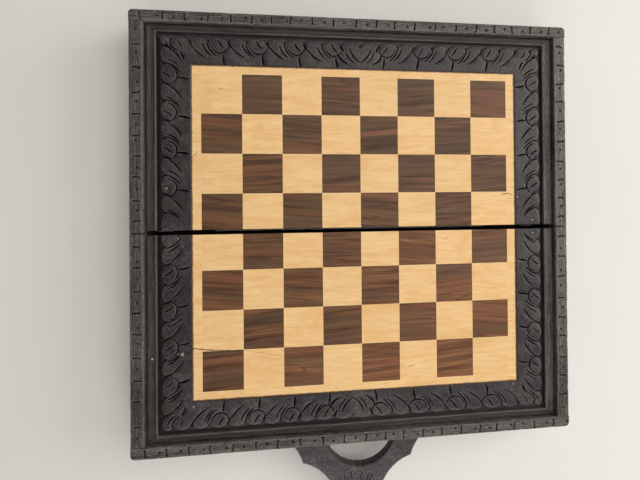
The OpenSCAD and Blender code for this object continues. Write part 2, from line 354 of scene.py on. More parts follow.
class Recipe:
    """A procedural material under construction, with a short call for each kind of node."""

    def __init__(self, name, **shader):
        self.material = bpy.data.materials.new(name)
        self.material.use_nodes = True
        self.shader = self.material.node_tree.nodes["Principled BSDF"]
        self.at = self.node("TexCoord", {}).outputs["Object"]
        self.colour = None
        for key, value in shader.items():
            self.shader.inputs[key.replace("_", " ")].default_value = value

    def put(self, socket, value):
        """Sets a socket to a number or colour, or links it to another node."""
        if isinstance(value, bpy.types.NodeSocket):
            self.material.node_tree.links.new(value, socket)
        else:
            socket.default_value = (*value, 1) if socket.type == "RGBA" else value

    def node(self, kind, values, **settings):
        """A node with its settings, and the values of its inputs by name or number."""
        node = self.material.node_tree.nodes.new("ShaderNode" + kind)
        for key, value in settings.items():
            setattr(node, key, value)
        for key, value in values.items():
            self.put(node.inputs[key], value)
        return node

    def maths(self, kind, *values):
        return self.node("Math", dict(enumerate(values)), operation=kind).outputs[0]

    def times(self, first, second):
        return self.maths("MULTIPLY", first, second)

    def minus(self, first, second):
        return self.maths("SUBTRACT", first, second)

    def vector(self, kind, *values):
        return self.node("VectorMath", dict(enumerate(values)), operation=kind).outputs[0]

    def parts(self, vector):
        """The three parts of a place or a colour."""
        return self.node("SeparateXYZ", {0: vector}).outputs

    def noise(self, scale, detail=4.0, roughness=0.6, distortion=0.0, move=(0, 0, 0), jump=None):
        """Noise over the piece, with one scale or one for each axis, and a jump from square to square."""
        scale = scale if isinstance(scale, tuple) else (scale, scale, scale)
        place = self.node("Mapping", {"Vector": self.at, "Scale": scale, "Location": move}).outputs[0]
        if jump:
            square, amount = jump
            place = self.vector("MULTIPLY_ADD", square, (amount, amount, amount), place)
        names = ("Vector", "Scale", "Detail", "Roughness", "Distortion")
        values = (place, 1.0, detail, roughness, distortion)
        return self.node("TexNoise", dict(zip(names, values))).outputs["Fac"]

    def ramp(self, value, *stops):
        """Colours or numbers at places along a value."""
        node = self.node("ValToRGB", {"Fac": value})
        points = node.color_ramp.elements
        while len(points) < len(stops):
            points.new(0.5)
        for point, (place, colour) in zip(points, stops):
            point.position = place
            point.color = (*colour, 1) if isinstance(colour, tuple) else (colour, colour, colour, 1)
        return node.outputs["Color"]

    def mix(self, share, first, second):
        values = {0: share, 6: first, 7: second}
        return self.node("Mix", values, data_type="RGBA", clamp_factor=True).outputs[2]

    def coat(self, share, colour):
        """Lays a share of another colour over the colour so far."""
        self.colour = self.mix(share, self.colour, colour)

    def within(self, value, lo, hi, share=None):
        """0 at lo, 1 at hi, smooth between, and then only a share of that."""
        node = self.node("MapRange", {"Value": value, "From Min": lo, "From Max": hi},
                         interpolation_type="SMOOTHSTEP")
        return node.outputs["Result"] if share is None else self.times(node.outputs["Result"], share)

    def stored(self, name):
        """A number stored on the points of the piece."""
        return self.node("Attribute", {}, attribute_name=name).outputs["Fac"]

    def from_fold(self, sign):
        """Distance from the fold line, in metres."""
        return self.times(self.minus(self.parts(self.at)[1], FOLD_Y * MM), sign)

    def bumps(self, *layers):
        """Bump layers of (height, depth in metres, strength), the first one lowest."""
        normal = None
        for height, depth, strength in layers:
            values = {"Height": height, "Distance": depth, "Strength": strength}
            normal = self.node("Bump", {**values, "Normal": normal} if normal else values).outputs["Normal"]
        self.put(self.shader.inputs["Normal"], normal)

    def done(self, value, smoothest, roughest):
        """The finished material, its roughness changing along a value."""
        self.put(self.shader.inputs["Base Color"], self.colour)
        self.put(self.shader.inputs["Roughness"], self.ramp(value, (0.3, smoothest), (0.7, roughest)))
        return self.material


def grain(along, fine, length):
    """Noise scale for fibres that run along one axis: fine across and slow along."""
    return tuple(length if axis == along else fine for axis in "xyz")


def stained_wood(name, along, weather_and_light):
    """Dark, worn stain on a plank: fibres, faded grey-brown patches and specks, black in the cuts from pooled
    stain and painted shade, and lighter edges from wear and a painted highlight.
    """
    m = Recipe(name, Specular_IOR_Level=0.42)
    fibres = m.noise(grain(along, 1100, 40), 5, 0.65)
    streaks = m.noise(grain(along, 260, 9), 3)
    patches = m.noise(14, distortion=0.6)
    specks = m.noise(grain(along, 620, 190), roughness=0.8)
    fine = m.noise(420, 3)
    faded = m.ramp(fibres, (0.34, (0.042, 0.035, 0.0315)), (0.66, (0.205, 0.18, 0.162)))
    m.colour = m.ramp(fibres, (0.34, (0.007, 0.0063, 0.0064)), (0.66, (0.046, 0.0425, 0.0415)))
    # How much fading shows is set side by side in build, so part of it is painted light.
    m.coat(m.times(m.within(patches, 0.26, 0.54, weather_and_light), m.within(streaks, 0.25, 0.7)), faded)
    m.coat(m.within(specks, 0.54, 0.66, 0.7 * weather_and_light), (0.25, 0.224, 0.196))
    m.coat(m.within(specks, 0.46, 0.36, 0.75 * weather_and_light), (0.0075, 0.0066, 0.0062))
    # Lighter edges and crests: rubbed stain and a painted highlight.
    m.coat(m.times(m.times(m.stored("wear_and_highlight"), m.within(fine, 0.3, 0.62)), 0.8), (0.2, 0.178, 0.158))
    # Near black in the cuts and joints: pooled stain and painted shade.
    m.coat(m.stored("stain_and_shade"), (0.0016, 0.0014, 0.0014))
    m.bumps((streaks, 0.0007, 0.5), (fibres, 0.0004, 0.85), (specks, 0.0003 * weather_and_light, 0.6))
    return m.done(patches, 0.42, 0.6)


def carved_wood(name, lift):
    """Stain pooled black in the cuts, with painted shade there too, and rubbed thin on the crests, with a
    painted highlight there too, over chiselled wood.
    """
    def tint(*colour):
        return tuple(lift * part for part in colour)

    m = Recipe(name, Specular_IOR_Level=0.45)
    tooling = m.noise(330, roughness=0.65)
    fibres = m.noise(900, 3)
    patches = m.noise(22, 3, distortion=0.5)
    hue = m.noise(38, 3, move=(3, 1, 0))
    thin = m.ramp(tooling, (0.34, tint(0.02, 0.017, 0.0172)), (0.66, tint(0.08, 0.07, 0.07)))
    m.colour = m.ramp(tooling, (0.34, tint(0.0068, 0.0057, 0.0064)), (0.66, tint(0.034, 0.0292, 0.0315)))
    m.coat(m.within(patches, 0.42, 0.7), thin)
    m.coat(m.within(hue, 0.5, 0.72, 0.55), tint(0.034, 0.0215, 0.0185))
    # Lighter crests: rubbed stain and a painted highlight.
    m.coat(m.times(m.times(m.stored("wear_and_highlight"), m.within(fibres, 0.35, 0.65)), 0.7), (0.125, 0.112, 0.11))
    # Near black in the cuts and outlines: pooled stain and painted shade.
    m.coat(m.stored("stain_and_shade"), (0.0014, 0.0012, 0.0013))
    m.coat(m.stored("seam"), (0.02, 0.0062, 0.0034))
    m.coat(m.within(m.stored("chip"), 0.25, 0.6), (0.36, 0.25, 0.16))
    m.bumps((tooling, 0.0006, 0.5), (fibres, 0.00022, 0.6))
    return m.done(patches, 0.38, 0.56)


def square_place(m, sign, part):
    """Where a point lies on one half's chess squares: which square (FLOOR) or how far in it (FRACTION)."""
    per_metre = 1 / (SQUARE * MM)
    start = (sign * FOLD_ROW_SHORT - FOLD_Y) * MM * per_metre
    return m.vector(part, m.vector("MULTIPLY_ADD", m.at, (per_metre, per_metre, 0), (0, start, 0)))


def square_border(m, sign):
    """1 at the outline of each chess square and 0 within it."""
    parts = m.parts(square_place(m, sign, "FRACTION"))
    away = [m.maths("ABSOLUTE", m.minus(parts[k], 0.5)) for k in (0, 1)]
    nearest = m.maths("MULTIPLY_ADD", m.noise(190, 2), 0.012, m.maths("MAXIMUM", *away))
    return m.within(nearest, 0.487, 0.502)


def per_square(m, sign, seed):
    """A random number and a random vector for each chess square."""
    node = m.node("TexWhiteNoise", {}, noise_dimensions="4D")
    m.put(node.inputs["Vector"], square_place(m, sign, "FLOOR"))
    m.put(node.inputs["W"], seed)
    return node.outputs["Value"], node.outputs["Color"]


def slanted(m, square):
    """The place on the piece, sheared a little differently in each chess square so that the grain slants."""
    x, y, z = m.parts(m.at)
    slope = m.times(m.minus(m.parts(square)[0], 0.4), 0.26)
    return m.node("CombineXYZ", {0: x, 1: m.maths("MULTIPLY_ADD", slope, x, y), 2: z}).outputs[0]


def board_border(m, sign):
    """1 along the outer edge of a maple board, where stain has bled into it, and 0 within."""
    beside = m.minus(BOARD_X * MM, m.maths("ABSOLUTE", m.parts(m.at)[0]))
    inward = m.maths("MINIMUM", beside, m.minus(BOARD_Y * MM, m.from_fold(sign)))
    wander = m.minus(m.noise(240, 3), 0.5)
    return m.within(m.maths("MULTIPLY_ADD", wander, 1.8 * MM, inward), 1.5 * MM, 0.5 * MM)


def fold_gap_shade(m, sign):
    """1 on a board's upright edge at the fold, which is painted dark as the shade of the fold gap, and 0 on
    its top.
    """
    return m.within(m.from_fold(sign), (FOLD_GAP + 0.3) * MM, (FOLD_GAP + 0.05) * MM)


# Marks in the maple of each half: (x, y) from and to in the half's own frame, half-width and strength.
BOARD_MARKS = {
    "near": [((-178, 120.5), (-157, 123.2), 0.5, 1.0), ((-157, 123.2), (-129, 124.6), 0.38, 0.9),
             ((-129, 124.6), (-87, 132.5), 0.22, 0.6), ((-176, 78), (-172, 90), 0.25, 0.35),
             ((52, 152.4), (57, 150.4), 0.4, 0.7), ((93, 13.0), (98, 10.6), 0.35, 0.5)],
    "far": [((163, 37.6), (171, 38.4), 0.5, 0.9), ((171, 38.4), (175, 36.0), 0.45, 0.8),
            ((-176, 79), (-172, 84), 0.5, 0.5), ((-150, 150), (-146, 151), 0.35, 0.7)],
}


def board_marks(m, half):
    """Thin cracks and knots as dark lines that wander a little."""
    x, y, _ = m.parts(m.at)
    y = m.maths("MULTIPLY_ADD", m.minus(m.noise(160, 3), 0.5), 2.6 * MM, y)
    for start, end, width, strength in BOARD_MARKS[half]:
        first, last = (Vector((place[0], FOLD_Y + HALVES[half] * place[1])) * MM for place in (start, end))
        way = last - first
        slope = way.y / way.x
        middle, reach = (first.x + last.x) / 2, abs(way.x) / 2
        line_y = m.maths("MULTIPLY_ADD", x, slope, first.y - slope * first.x)
        line = m.within(m.maths("ABSOLUTE", m.minus(y, line_y)), 1.5 * width * MM, 0.4 * width * MM)
        inside = m.within(m.maths("ABSOLUTE", m.minus(x, middle)), reach + 0.6 * MM, reach - 0.3 * MM)
        m.coat(m.times(m.times(inside, line), strength), (0.045, 0.018, 0.008))


def maple(half, sign):
    """Pale veneer with fine wavy fibres, soft blotches, small dark flecks and a varnish gone warm."""
    m = Recipe(f"{half}_maple", Specular_IOR_Level=0.35)
    tone, square = per_square(m, sign, 3.1)
    fibres = m.noise((60, 900, 60), 5, distortion=0.35)
    waves = m.noise((18, 120, 18), 3, distortion=0.8, jump=(square, 9))
    blotches = m.noise(30, 3)
    flecks = m.noise((330, 1500, 330), 2)
    warm = m.ramp(fibres, (0.25, (0.72, 0.405, 0.145)), (0.75, (0.9, 0.575, 0.25)))
    m.colour = m.ramp(fibres, (0.25, (0.79, 0.49, 0.215)), (0.5, (0.9, 0.6, 0.29)),
                      (0.75, (0.95, 0.68, 0.36)))
    m.coat(m.within(waves, 0.35, 0.75), warm)
    m.coat(m.within(blotches, 0.5, 0.8), (0.81, 0.475, 0.19))
    m.coat(m.times(tone, 0.22), (0.74, 0.5, 0.25))
    m.coat(m.within(flecks, 0.7, 0.8), (0.33, 0.17, 0.065))
    m.coat(m.times(board_border(m, sign), 0.85), (0.07, 0.022, 0.009))
    board_marks(m, half)
    # The fold edge is painted near black as the shade in the fold gap.
    m.coat(fold_gap_shade(m, sign), (0.01, 0.006, 0.004))
    m.bumps((waves, 0.0004, 0.12), (fibres, 0.00012, 0.35))
    return m.done(blotches, 0.36, 0.5)


def walnut(half, sign):
    """Brown veneer squares, each cut from another place of the log, redder and lighter towards the near right,
    partly the wood's own tone and partly a painted sheen from the light on the right.
    """
    m = Recipe(f"{half}_walnut", Specular_IOR_Level=0.35)
    tone, square = per_square(m, sign, 7.7)
    x, y, _ = m.parts(m.at)
    border = square_border(m, sign)
    edge = fold_gap_shade(m, sign)
    m.at = slanted(m, square)
    streaks = m.noise((11, 230, 11), 5, 0.62, 0.35, jump=(square, 40))
    fibres = m.noise((50, 1300, 50), jump=(square, 20))
    bands = m.noise((4, 66, 4), 2, distortion=0.4, jump=(square, 12))
    red = m.ramp(streaks, (0.3, (0.066, 0.0185, 0.0074)), (0.5, (0.19, 0.07, 0.026)),
                 (0.7, (0.33, 0.152, 0.062)))
    m.colour = m.ramp(streaks, (0.3, (0.026, 0.0092, 0.0035)), (0.5, (0.094, 0.039, 0.014)),
                      (0.7, (0.205, 0.098, 0.038)))
    # Redder and lighter towards the near right: the wood's tone with a painted sheen.
    corner = m.minus(m.times(x, 2.2), m.times(y, 2.6))
    start = 0.05 if sign > 0 else -0.22
    m.coat(m.within(m.maths("MULTIPLY_ADD", tone, 0.45, corner), start, start + 0.8), red)
    m.coat(m.within(bands, 0.5, 0.57, 0.48), (0.102, 0.061, 0.035))
    m.coat(m.within(bands, 0.46, 0.36, 0.5), (0.23, 0.084, 0.043))
    between = m.maths("ABSOLUTE", m.minus(bands, 0.49))
    m.coat(m.within(between, 0.016, 0.003, 0.55), (0.034, 0.0125, 0.0075))
    m.coat(m.within(fibres, 0.52, 0.75, 0.35), (0.22, 0.125, 0.066))
    m.coat(m.times(tone, 0.22), (0.135, 0.066, 0.027))
    m.coat(m.times(border, 0.9), (0.016, 0.006, 0.003))
    # The fold edge is painted near black as the shade in the fold gap.
    m.coat(edge, (0.006, 0.004, 0.003))
    m.bumps((streaks, 0.0003, 0.12), (fibres, 0.00015, 0.4))
    return m.done(fibres, 0.38, 0.55)


def base_wood(half, sign):
    """Plywood underneath, but stained black where its top shows between the strips, and painted black on its
    fold edge as the shade of the fold gap.
    """
    m = Recipe(f"{half}_plywood", Specular_IOR_Level=0.35)
    fibres = m.noise((30, 900, 900), 5, 0.62)
    bands = m.noise((6, 120, 400), 3, distortion=0.5)
    m.colour = m.mix(m.maths("MULTIPLY_ADD", bands, 0.6, m.times(fibres, 0.4)),
                     (0.26, 0.15, 0.075), (0.52, 0.34, 0.18))
    pooled = m.ramp(fibres, (0.35, (0.0016, 0.0014, 0.0014)), (0.65, (0.006, 0.0052, 0.005)))
    thin = m.ramp(fibres, (0.35, (0.011, 0.0098, 0.0098)), (0.65, (0.044, 0.04, 0.039)))
    on_top = m.within(m.parts(m.at)[2], (BASE_Z - 2.0) * MM, (BASE_Z - 0.5) * MM)
    from_fold = m.from_fold(sign)
    stain = m.mix(m.within(from_fold, (CARVING_Y - 3.0) * MM, CARVING_Y * MM), pooled, thin)
    # The fold edge is painted near black as the shade in the fold gap.
    shaded_fold_edge = m.within(from_fold, (FOLD_GAP + 2.0) * MM, (FOLD_GAP + 0.2) * MM)
    m.coat(m.maths("MAXIMUM", on_top, shaded_fold_edge), stain)
    m.bumps((bands, 0.0003, 0.2), (fibres, 0.00018, 0.5))
    return m.done(fibres, 0.5, 0.7)


def plain_wood(name, dark, light, roughness, spec=0.35):
    """Unfigured wood between two tones, with fibres along x."""
    m = Recipe(name, Specular_IOR_Level=spec)
    fibres = m.noise(grain("x", 900, 30), 5, 0.62)
    bands = m.noise(grain("x", 120, 6), 3, distortion=0.5)
    patches = m.noise(25, 3)
    m.colour = m.mix(m.maths("MULTIPLY_ADD", bands, 0.6, m.times(fibres, 0.4)), dark, light)
    m.coat(m.within(patches, 0.5, 0.8, 0.35), dark)
    m.bumps((bands, 0.0003, 0.2), (fibres, 0.00018, 0.5))
    return m.done(patches, roughness - 0.08, roughness + 0.1)


# Colours of brass along its tarnish, from clean to dark. The second set, near black, also paints the shade of
# the fold gap onto the hinges.
BRASS_TONES = [(0.3, (0.66, 0.44, 0.17)), (0.55, (0.5, 0.31, 0.11)), (0.78, (0.17, 0.095, 0.04))]
SHADED_TARNISH_TONES = [(0.3, (0.11, 0.066, 0.028)), (0.6, (0.036, 0.022, 0.012)), (0.8, (0.012, 0.009, 0.007))]


def old_brass(name, blotch, scratch, colours, dents, shine):
    """Brass with tarnish in blotches and fine scratches."""
    m = Recipe(name, Metallic=1.0)
    tarnish = m.noise(blotch, 5, 0.65)
    m.colour = m.ramp(tarnish, *colours)
    m.bumps((tarnish, 0.0001, dents[0]), (m.noise(scratch, 2), 0.00005, dents[1]))
    return m.done(tarnish, *shine)


def steel(name):
    """Dull nail steel with a little rust."""
    m = Recipe(name, Metallic=1.0)
    rust = m.noise(700, roughness=0.7)
    m.colour = m.ramp(rust, (0.36, (0.5, 0.48, 0.46)), (0.55, (0.26, 0.24, 0.21)),
                      (0.74, (0.08, 0.042, 0.025)))
    m.bumps((rust, 0.0001, 0.5))
    return m.done(rust, 0.36, 0.65)


def bone_resin(name):
    """Ivory-coloured dice with dark, filled pips and a slight swirl."""
    m = Recipe(name, Subsurface_Weight=0.08, Subsurface_Scale=0.002, Specular_IOR_Level=0.5)
    swirl = m.noise(90, distortion=2.0)
    m.colour = m.ramp(swirl, (0.3, (0.76, 0.7, 0.56)), (0.7, (0.86, 0.82, 0.71)))
    m.coat(m.stored("pip"), (0.012, 0.011, 0.011))
    m.bumps((m.noise(1800, 2), 0.00003, 0.25))
    return m.done(swirl, 0.22, 0.34)


def studio_paper():
    """Matt, slightly warm white for the floor."""
    m = Recipe("pale_floor", Specular_IOR_Level=0.2)
    mottle = m.noise(3, 3)
    m.colour = m.ramp(mottle, (0.3, (0.765, 0.752, 0.725)), (0.7, (0.795, 0.785, 0.76)))
    m.bumps((m.noise(600, 3), 0.0001, 0.1))
    return m.done(mottle, 0.75, 0.85)


# ---- outer walls

RIM_GRID = 0.36
RIM_ROUND = 1.0
RIM_BEVEL = 1.7
STAMP_PITCH = 22.5
STAMP_LEN = 6.6
# Sides of a wall as (height, inset), from the rounded rim to the bevelled foot.
WALL_RINGS = [(TOP_Z - 8, 0.05), (TOP_Z - 20, 0.12), (TOP_Z - 33, 0.05), (WALL_Z + 0.9, 0.02),
              (WALL_Z + 0.3, 0.22), (WALL_Z, 0.75)]


def stamp_rim(relief, length, width, rng, skip=8.0):
    """Bars with small feet across the rim, and a punched dot beside or between them."""
    at = skip + rng.uniform(2, 6)
    while at < length - skip:
        lean = rng.normal(0, 0.35)
        middle = width / 2 - 0.3 + rng.normal(0, 0.3)
        first = (at - lean, middle - STAMP_LEN / 2 + rng.normal(0, 0.3))
        last = (at + lean, middle + STAMP_LEN / 2 + rng.normal(0, 0.3))
        bend = ((first[0] + last[0]) / 2 + rng.normal(0, 0.5), middle)
        relief.cut([first, bend, last], rng.uniform(0.7, 1.05), rng.uniform(1.2, 1.9), taper=0.8, reach=1.5)
        for end in (first, last):
            foot = rng.uniform(0.6, 1.6)
            relief.cut([(end[0] - foot, end[1]), (end[0] + foot, end[1] + rng.normal(0, 0.35))],
                       rng.uniform(0.6, 0.95), rng.uniform(1.0, 1.5), taper=0.7, reach=1.5)
        beside = rng.choice([0.55, 0.5, 0.7]) * STAMP_PITCH
        relief.dot(at + beside + rng.normal(0, 1.0), width / 2 + rng.normal(0, 0.6),
                   rng.uniform(1.2, 1.65), rng.uniform(1.2, 1.8))
        at += STAMP_PITCH + rng.normal(0, 1.3)


def chip_edge(along, across, length, rng, count):
    """Depth of small dents where an edge was knocked."""
    dent = np.zeros(along.shape)
    for _ in range(count):
        place, size = rng.uniform(5, length - 5), rng.uniform(0.8, 2.4)
        depth = rng.uniform(0.25, 0.8)
        away = np.hypot((along - place) / rng.uniform(1.0, 2.5), across) / size
        dent = np.maximum(dent, depth * bell(away, 1))
    return dent


def wall_heights(along, across, width, ends, rng, seed):
    """Height, dark cuts and joints (pooled stain and painted shade) and lighter edges (wear and a painted
    highlight) of a rim. The distances run along it and in from its outer edge.
    """
    length = along.max() - along.min()
    relief = Relief(along.ravel(), across.ravel())
    stamp_rim(relief, length, width, rng)
    slit = relief.slit.reshape(along.shape)
    inner = width - across
    outer_dent = chip_edge(along, across, length, rng, 9)
    inner_dent = chip_edge(along, inner, length, rng, 7)
    fibre = rough(along, across * 9, 9, seed) + 0.6 * rough(along, across * 22, 6, seed + 1)
    drift = rough(along, across, 38, seed + 2)
    z = TOP_Z - 0.12 - edge_fall(across, RIM_ROUND) - edge_fall(inner, RIM_BEVEL) - edge_fall(ends, 0.9)
    z = z - slit - outer_dent - inner_dent + 0.08 * fibre + 0.07 * drift
    # Both rounded rim edges are painted lighter: worn stain and a painted highlight.
    crest = bell(inner - RIM_BEVEL, 0.8) + 0.8 * bell(across - 0.8, 0.6)
    wear_and_highlight = np.maximum(relief.wear_and_highlight.reshape(along.shape) * 0.5, crest * (0.6 + 0.4 * drift))
    joint = bell(np.clip(ends, 0, None), 0.5)
    values = {
        "stain_and_shade": np.maximum(relief.stain_and_shade.reshape(along.shape), 0.9 * joint),
        "wear_and_highlight": np.clip(wear_and_highlight, 0, 1),
    }
    return np.minimum(z, TOP_Z), values


def end_wall(half, sign, material):
    """The board across the end, with its two upright edges rounded."""
    turn = np.linspace(0, math.pi / 2, 9)[:-1]
    corner = CORNER_R * np.cos(turn)
    right = HALF_W - CORNER_R
    x = np.concatenate([-right - corner, spaced(-right, right, RIM_GRID), (right + corner)[::-1]])
    share = spaced(0, HALF_D - INNER_Y, RIM_GRID, RIM_ROUND) / (HALF_D - INNER_Y)
    past = np.clip(np.abs(x) - right, 0, CORNER_R)
    outer = HALF_D - CORNER_R + np.sqrt(CORNER_R ** 2 - past ** 2)
    grid_x, grid_share = np.meshgrid(x, share)
    y = INNER_Y + grid_share * (outer - INNER_Y)[None, :]
    ends = HALF_W - np.abs(grid_x)
    rng = np.random.default_rng(11 + sign)
    z, values = wall_heights(grid_x + HALF_W, outer[None, :] - y, HALF_D - INNER_Y, ends + 3, rng, 30 + sign)
    block(half, "end_wall", "carved", grid_x, y, z, WALL_RINGS, material, values)


def side_wall(half, sign, side, facing, material):
    """A board along the left or right, from the fold to the end wall."""
    width = HALF_W - INNER_X
    across = spaced(0, width, RIM_GRID, RIM_ROUND)
    along = spaced(WALL_FOLD_Y, INNER_Y, RIM_GRID)
    y, w = np.meshgrid(along, across)
    ends = np.minimum(y - WALL_FOLD_Y, INNER_Y - y + 0.3)
    rng = np.random.default_rng(50 + 3 * sign + facing)
    z, values = wall_heights(y - WALL_FOLD_Y, w, width, ends, rng, 70 + 3 * sign + facing)
    x = facing * (HALF_W - w)
    block(half, f"{side}_wall", "carved", x, y, z, WALL_RINGS, material, values)


# ---- mouldings

BEAD_W = 2.4


def moulding_heights(x, y, seed):
    """A shallow cove beside the wall and a half-round bead along the inner edge."""
    inner = np.maximum(np.abs(x) - MOULDING_X, y - MOULDING_Y)
    outer = np.minimum(INNER_X - np.abs(x), INNER_Y - y)
    on_side = np.abs(x) - MOULDING_X > y - MOULDING_Y
    along = np.where(on_side, y, x)
    across = np.where(on_side, x, y)
    bead = np.sqrt(np.clip(1 - ((inner - BEAD_W / 2) / (BEAD_W / 2 + 0.05)) ** 2, 0, 1))
    flat = MOULDING_Z - 0.95 - 0.35 * np.sin(np.pi * np.clip((inner - BEAD_W) / 6, 0, 1))
    flat = flat - 0.9 * fade(outer, 0.5)
    wobble = rough(along, across, 24, seed)
    z = np.where(inner < BEAD_W, np.maximum(flat, MOULDING_Z - 1.5 + 1.4 * bead + 0.07 * wobble), flat)
    fibre = rough(along, across * 14, 11, seed + 1) + 0.5 * rough(along, across * 30, 7, seed + 2)
    z = z + 0.05 * fibre + 0.05 * wobble - 0.6 * fade(y - FOLD_GAP, 0.5)
    # The bead's crest is painted lighter: worn stain and a painted highlight.
    crest = bell(inner - BEAD_W / 2, 0.75)
    # The cove beside the wall is painted dark as the wall's shadow falling on it.
    corner = fade(outer, 0.9)
    values = {"wear_and_highlight": np.clip(crest * (0.55 + 0.45 * wobble), 0, 1), "stain_and_shade": np.clip(0.8 * corner, 0, 1)}
    return np.minimum(z, MOULDING_Z), values


def mitred_end(outer, inner, step):
    """Grid over an end strip: rows from the outer edge in, ends cut on the mitre."""
    share = spaced(0, outer[1] - inner[1], step) / (outer[1] - inner[1])
    limit = outer[0] + share * (inner[0] - outer[0])
    column = np.linspace(-1, 1, int(2 * outer[0] / step) + 1)
    row_y = outer[1] + share * (inner[1] - outer[1])
    return column[None, :] * limit[:, None], np.repeat(row_y[:, None], len(column), 1)


def mitred_side(outer, inner, step, count):
    """Grid over a side strip, from the fold to the mitre, with a given number of rows across it."""
    share = np.linspace(0, 1, count)
    x = outer[0] + share * (inner[0] - outer[0])
    top = outer[1] + share * (inner[1] - outer[1])
    column = np.linspace(0, 1, int((inner[1] - FOLD_GAP) / step) + 1)
    return np.repeat(x[:, None], len(column), 1), FOLD_GAP + column[None, :] * (top - FOLD_GAP)[:, None]


def strips(half, kind, ending, outer, inner, steps, heights, materials):
    """The end strip and the two side strips of one half, mitred where they meet."""
    rings = [(BASE_Z + 0.02, 0.0)]
    x, y = mitred_end(outer, inner, steps[0])
    z, values = heights(x, y, 1)
    block(half, f"end_{kind}", ending, x, y, z, rings, materials["end"], values)
    rows = len(z)
    for side, facing in SIDES.items():
        x, y = mitred_side(outer, inner, steps[1], rows)
        z, values = heights(x, y, facing)
        block(half, f"{side}_{kind}", ending, facing * x, y, z, rings, materials[side], values)


def moulding_strips(half, sign, materials):
    """The three flat strips between the walls and the carving."""
    strips(half, "moulding", "worn", (INNER_X, INNER_Y), (MOULDING_X, MOULDING_Y), (0.42, 0.5),
           lambda x, y, _: moulding_heights(x, y, 90 + sign), materials)


# ---- carved border

# One leaf of the border, drawn on LEAF_LEN along the band (first number) and in from its outer edge (second):
# points of the cut, half-width, depth, side that lies lower, and how far it falls.
LEAF_LEN = 40.0
SMALL_LOBE = 0.49
STOP_CUT = ([(0.1, 1.6), (1.3, 6.6), (3.4, 10.8)], 1.05, 2.4, 1, 0.7)
EDGE_CUT = ([(3.6, 10.4), (7.4, 14.8), (11.6, 18.4), (17.8, 22.2)], 0.72, 1.9, 1, 1.0)
VEIN_CUTS = [
    ([(14.6, 7.6), (18.0, 14.2), (23.8, 20.4)], 0.8, 1.8, 0, 0),
    ([(18.6, 6.6), (21.8, 13.7), (28.6, 20.4)], 0.86, 1.8, 0, 0),
]
LOBE_CUT = ([(30.2, 4.2), (32.6, 8.6), (36.2, 12.4)], 0.85, 1.8, 0, 0)
DISC_CUT = ([(22.7, 8.6), (25.4, 14.0), (31.8, 17.0), (38.4, 14.6), (41.3, 9.4)], 0.62, 1.3, 1, 0.8)
TIP_CUT = ([(35.2, 18.0), (35.7, 23.6), (37.2, 29.2)], 0.95, 2.2, -1, 1.0)
# The cuts of the centre motif, as distances from its middle line and in from the edge.
MOTIF_CUTS = [
    ([(24.6, 13.6), (20.4, 20.4), (13.8, 25.2)], 0.95, 2.1, 1, 1.3),
    ([(15.8, 11.6), (12.0, 18.6), (7.0, 23.4)], 0.8, 1.8, 0, 0),
    ([(11.6, 8.4), (8.0, 15.8), (0.6, 23.2)], 0.95, 1.9, 0, 0),
]
CORNER_CUTS = [
    ([(6.8, 7.0), (9.2, 12.6), (15.6, 17.0)], 0.82, 1.8, 0, 0),
    ([(10.2, 6.4), (12.6, 11.6), (18.6, 15.8)], 0.82, 1.8, 0, 0),
    ([(18.8, 5.4), (20.4, 9.4), (22.8, 12.2)], 0.75, 1.6, 0, 0),
    ([(20.8, 17.2), (23.0, 20.6), (24.6, 25.0)], 0.95, 2.1, -1, 1.1),
]
CORNER_LEN = 29.5
CENTRE_LEN = 21.5
CENTRE_X = {"far": 0.5, "near": -10.8}
SIDE_START = {"far": 10.6, "near": 16.6}
SIDE_PITCH = 38.8
NOTCH = 4.6
OUTLINE_GAP = 0.3


def leaf_cuts(start, pitch, rng, whole=True):
    """The cuts of one leaf at a place along a band, each a little different, as (points, facts)."""
    parts = [STOP_CUT, EDGE_CUT, *VEIN_CUTS] + ([DISC_CUT, LOBE_CUT, TIP_CUT] if whole else [])
    stretch = pitch / LEAF_LEN
    cuts = []
    for points, width, depth, under, fall in parts:
        shift = rng.normal(0, 0.45, 2)
        moved = [(start + t * stretch + shift[0] + rng.normal(0, 0.15), v + shift[1] + rng.normal(0, 0.15))
                 for t, v in points]
        cuts.append((moved, (width * rng.uniform(0.8, 1.2), depth * rng.uniform(0.85, 1.15), under, fall)))
    return cuts


def uneven(parts, rng, place):
    """Cuts put in place point by point, each point a little off."""
    return [([place(*(np.array(point) + rng.normal(0, 0.3, 2))) for point in points], facts)
            for points, *facts in parts]


def swapped(cuts):
    """Cuts of a side band, in the end band's corner frame: the two distances change places."""
    return [([(v, t) for t, v in points], (width, depth, -under, fall))
            for points, (width, depth, under, fall) in cuts]


def scallop(t, notches):
    """How far in from the band's straight edge the row of round lobes lies, and how full the lobe is."""
    notches = np.asarray(notches)
    lobe = np.clip(np.searchsorted(notches, t) - 1, 0, len(notches) - 2)
    start, end = notches[lobe], notches[lobe + 1]
    u = np.clip((2 * t - start - end) / (end - start), -1, 1)
    full = np.sqrt(1 - u * u)
    return OUTLINE_GAP + NOTCH * (1 - full) ** 0.72, full


def end_band(length, rng):
    """Cuts and notches of the end band, from a corner to the centre motif."""
    pitch = (length - CORNER_LEN - CENTRE_LEN) / 4
    cuts, notches = [], [0.0, 11.5]
    for k in range(4):
        start = CORNER_LEN + k * pitch
        cuts += leaf_cuts(start, pitch, rng)
        notches += [start, start + SMALL_LOBE * pitch]
    start = length - CENTRE_LEN
    cuts += leaf_cuts(start, LEAF_LEN, rng, whole=False)[:1]
    cuts += uneven(MOTIF_CUTS, rng, lambda away, inward: (length - away, inward))
    return cuts, notches + [start, length]


